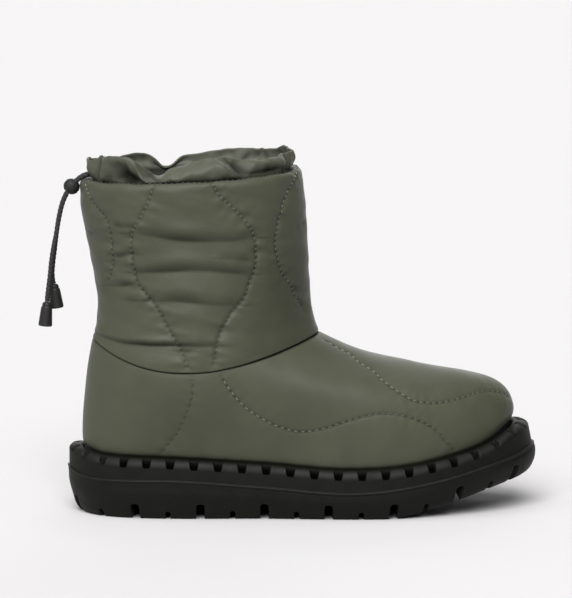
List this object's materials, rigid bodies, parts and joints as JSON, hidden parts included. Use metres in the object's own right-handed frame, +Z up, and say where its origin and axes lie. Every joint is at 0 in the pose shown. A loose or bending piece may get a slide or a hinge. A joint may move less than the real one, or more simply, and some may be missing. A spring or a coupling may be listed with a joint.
{
  "type": "quilted snow boot",
  "caption": "Right quilted ankle snow boot with a padded shaft, gathered drawcord collar, notched welt and chunky lugged sole.",
  "frame": {"origin": "on the floor under the middle of the boot's box, without the cords", "axes": "+X from heel to toe, +Y to the inner side of the right foot, +Z up"},
  "size_m": [0.299, 0.1078, 0.2155],
  "materials": {
    "nylon": "padded olive nylon, stitched in waves",
    "collar_nylon": "thin crumpled olive nylon",
    "rubber": "matte black moulded rubber",
    "felt": "soft dark felt",
    "cord": "braided black cord",
    "plastic": "satin dark grey plastic"
  },
  "bodies": {
    "root": {"outsole": "rubber", "midsole": "rubber", "welt": "rubber", "insole": "felt", "upper": "nylon", "shaft": "nylon", "collar": "collar_nylon", "drawcord_long": "cord", "drawcord_short": "cord", "cord_lock": "plastic", "cord_end_long": "plastic", "cord_end_short": "plastic"}
  },
  "joints": []
}
